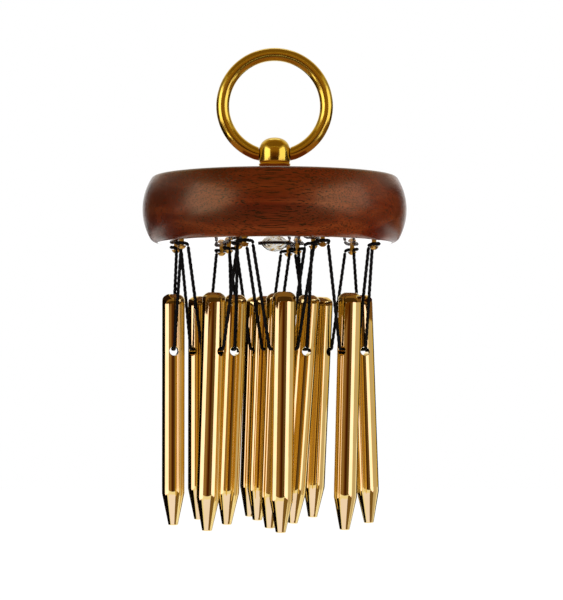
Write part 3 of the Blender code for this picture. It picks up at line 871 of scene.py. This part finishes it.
# White at the sides: the bright stripes on the bars, low down, and on the ring and post, high up
card("white_right_low", (0.3, -0.35, -0.15), (0.36, 0.17), TO_LEFT, "#DED2F6", 2.45)
card("white_right_high", (0.3, -0.23, 0.035), (0.38, 0.2), TO_LEFT, "#EEECFF", 2.1)
card("white_left_low", (-0.3, -0.135, -0.15), (0.25, 0.17), TO_RIGHT, "#DED2F6", 2.45)
card("white_left_high", (-0.3, -0.265, 0.035), (0.39, 0.2), TO_RIGHT, "#EEECFF", 2.7)
card("white_strip_left", (-0.1, -0.09, -0.069), (0.07, 0.018), TO_RIGHT, "#EEECFF", 3.0)
card("white_strip_right", (0.1, -0.09, -0.069), (0.07, 0.018), TO_LEFT, "#EEECFF", 1.7)

# Behind the camera: the browns between the stripes
card("tan_front_left", (-1.0, -1.0, -0.205), (1.2, 0.29), TO_BACK, "#9C7C52")
card("brown_front_left", (-0.295, -1.0, -0.205), (0.21, 0.29), TO_BACK, "#754E2C")
card("dark_front", (-0.075, -1.0, -0.205), (0.23, 0.29), TO_BACK, "#451D00")
card("umber_front", (0.115, -1.0, -0.205), (0.15, 0.29), TO_BACK, "#583C25")
card("brown_front_right", (0.445, -1.0, -0.205), (0.51, 0.29), TO_BACK, "#6E5A3A")
card("brown_front_band", (0, -1.0, 0.0), (2.4, 0.12), TO_BACK, "#6A4010")
card("gold_front_high", (0, -1.0, 0.33), (2.4, 0.54), TO_BACK, "#A0783A")

# Just over the disc: glowing sheets, a painted reflection of light on the disc's top, give the glow
# under the ring and on the post's collar
card("painted_glow_over_disc", (0, 0, -0.0415), (0.066, 0.066), UP, "#A0704E", clear_back=True)
card("painted_russet_glow_over_disc", (0, 0, -0.0413), (0.036, 0.02), UP, "#6A3422", clear_back=True)

# Round the disc's lower edge, and level with the cords under it
card("brown_shelf", (0, -0.105, -0.077), (0.7, 0.15), UP, "#86663A")
card("dark_under_shelf", (0, -0.115, -0.078), (0.7, 0.13), UP, "#4A3418")
card("dark_visor", (0, -0.1, -0.0575), (0.11, 0.035), TO_BACK, "#2A0E04")
card("dark_shelf_left", (-0.2175, 0.135, -0.078), (0.255, 0.33), UP, "#140A04")
card("dark_near_left", (-0.065, 0.03, -0.078), (0.05, 0.12), UP, "#2A1A0C")
card("white_near_left", (-0.0675, 0.045, -0.077), (0.045, 0.09), UP, "#FFFFFF", 0.9)
card("brown_shelf_right", (0.2175, 0.135, -0.078), (0.255, 0.33), UP, "#7A5A34")
card("dark_near_right", (0.065, 0.03, -0.078), (0.05, 0.12), UP, "#33180A")
card("white_near_right", (0.0675, 0.045, -0.077), (0.045, 0.09), UP, "#FFFFFF", 0.9)

# Beside and behind the chime: the dark edges of the bars, and the greys and whites of the ring
card("black_left", (-0.31, 0.15, -0.182), (0.3, 0.215), TO_RIGHT, "#0A0604")
card("brown_left", (-0.31, 0.15, -0.005), (0.44, 0.14), TO_RIGHT, "#503C28")
card("black_left_back", (-0.205, 0.4, -0.182), (0.29, 0.215), (0.205, -0.4, 0), "#0A0604")
card("black_right_back", (0.3, 0.4, -0.182), (0.4, 0.215), TO_FRONT, "#140C06")
card("grey_left_high", (-0.31, 0.15, 0.135), (0.44, 0.14), TO_RIGHT, "#9A9084")
card("grey_right_high", (0.32, 0.15, 0.105), (0.44, 0.2), TO_LEFT, "#A99F92")
card("brown_left_back", (-0.27, 0.4, 0.01), (0.1, 0.17), TO_FRONT, "#3A2412")
card("white_left_back", (-0.145, 0.4, 0.01), (0.15, 0.17), TO_FRONT, "#FFFFFF", 1.2)
card("grey_right", (0.32, -0.03, -0.185), (0.24, 0.21), TO_LEFT, "#D2C6BC")
card("brown_right_back", (0.32, 0.12, -0.005), (0.56, 0.14), (-0.32, -0.12, 0), "#4A3A2A")
card("white_right_back", (0.145, 0.4, 0.01), (0.15, 0.17), TO_FRONT, "#FFFFFF", 1.2)
card("cream_back_high", (0, 0.5, 0.3), (1.0, 0.6), TO_FRONT, "#F0E6D4")
card("white_back", (0, 0.6, -0.12), (0.3, 0.12), TO_FRONT, "#FFFFFF", 1.35)

# Below the bars and above the ring
card("black_low_left", (-0.4, 0.06, -0.34), (0.5, 0.2), (0.4, -0.06, 0.18), "#0C0703")
card("brown_low_right", (0.32, -0.3, -0.34), (0.36, 0.2), (-0.32, 0.3, 0.18), "#83693F")
card("white_low", (-0.1, -0.5, -0.4), (0.7, 0.4), UP, "#CBCBFF", 1.8)
card("brown_ceiling", (0, -0.325, 0.6), (1.6, 1.15), DOWN, "#8A6A34")
card("white_top_back", (0, 0.4, 0.7), (0.45, 0.34), (0, -0.4, -0.7), "#FFFFFF", 1.6)

bpy.context.scene.view_settings.view_transform = "Standard"
